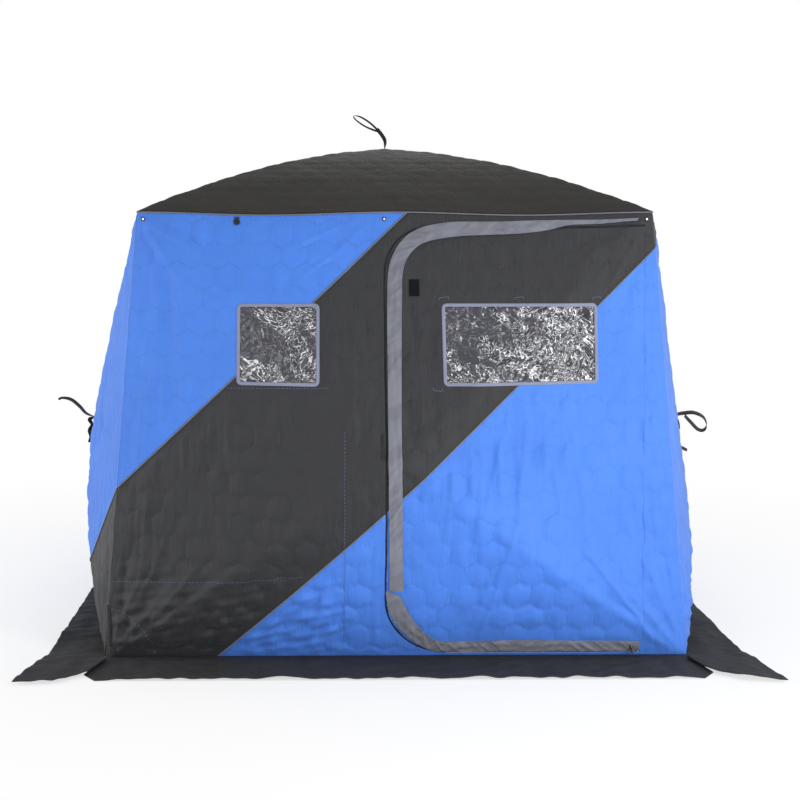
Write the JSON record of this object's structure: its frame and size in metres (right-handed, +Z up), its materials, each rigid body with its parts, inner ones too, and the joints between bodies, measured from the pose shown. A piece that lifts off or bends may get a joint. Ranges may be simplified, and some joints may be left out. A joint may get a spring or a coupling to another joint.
{
  "type": "pop-up fabric ice fishing hut",
  "caption": "Square pop-up ice fishing hut of quilted fabric held out by hubs and bowed poles, with a zipped D-shaped door, clear windows and skirts on the ice.",
  "frame": {"origin": "middle of the open floor, on the ice", "axes": "+Z up, -Y out of the front wall that holds the door, +X towards the door's hinge side"},
  "size_m": [3.0304, 2.93, 2.1765],
  "materials": {
    "blue_fabric": "woven polyester, quilted",
    "black_fabric": "woven polyester, quilted",
    "roof_fabric": "woven polyester, quilted",
    "skirt_fabric": "coated woven polyester",
    "flap_fabric": "woven polyester",
    "binding_tape": "woven tape",
    "clear_vinyl": "clear film",
    "webbing": "woven webbing",
    "zip_metal": "satin",
    "eyelet_metal": "satin",
    "fibreglass": "pultruded rod",
    "hub_plastic": "moulded"
  },
  "bodies": {
    "hut": {"roof": "roof_fabric", "front_wall_upper": "blue_fabric", "front_wall_band": "black_fabric", "front_wall_lower": "blue_fabric", "front_wall_header": "black_fabric", "front_wall_jamb": "blue_fabric", "front_wall_sill": "blue_fabric", "front_window_binding": "binding_tape", "front_window_pane": "clear_vinyl", "door_hinge_cord": "binding_tape", "back_wall_upper": "blue_fabric", "back_wall_band": "black_fabric", "back_wall_lower": "blue_fabric", "back_window_bindings": "binding_tape", "back_window_panes": "clear_vinyl", "left_wall": "blue_fabric", "left_wall_corners": "black_fabric", "right_wall": "blue_fabric", "right_wall_corners": "black_fabric", "side_window_bindings": "binding_tape", "side_window_panes": "clear_vinyl", "front_skirt": "skirt_fabric", "back_skirt": "skirt_fabric", "left_skirt": "skirt_fabric", "right_skirt": "skirt_fabric", "front_poles": "fibreglass", "back_poles": "fibreglass", "left_poles": "fibreglass", "right_poles": "fibreglass", "roof_poles": "fibreglass", "hubs": "hub_plastic", "corner_sockets": "hub_plastic", "roof_pull_strap": "webbing", "wall_pull_straps": "webbing", "eyelets": "eyelet_metal", "eave_ring": "webbing"},
    "door": {"door_upper": "black_fabric", "door_lower": "blue_fabric", "door_window_binding": "binding_tape", "door_window_pane": "clear_vinyl", "door_flap_upper": "flap_fabric", "door_flap_lower": "flap_fabric", "door_patch": "webbing", "zip_pull": "zip_metal"}
  },
  "joints": [
    {"name": "door_hinge", "type": "hinge", "parent": "hut", "child": "door", "pos_m": [0.94244, -1.18476, 0.14], "axis": [0.0242, 0.1028, 0.9944], "range_deg": [0, 100]}
  ]
}
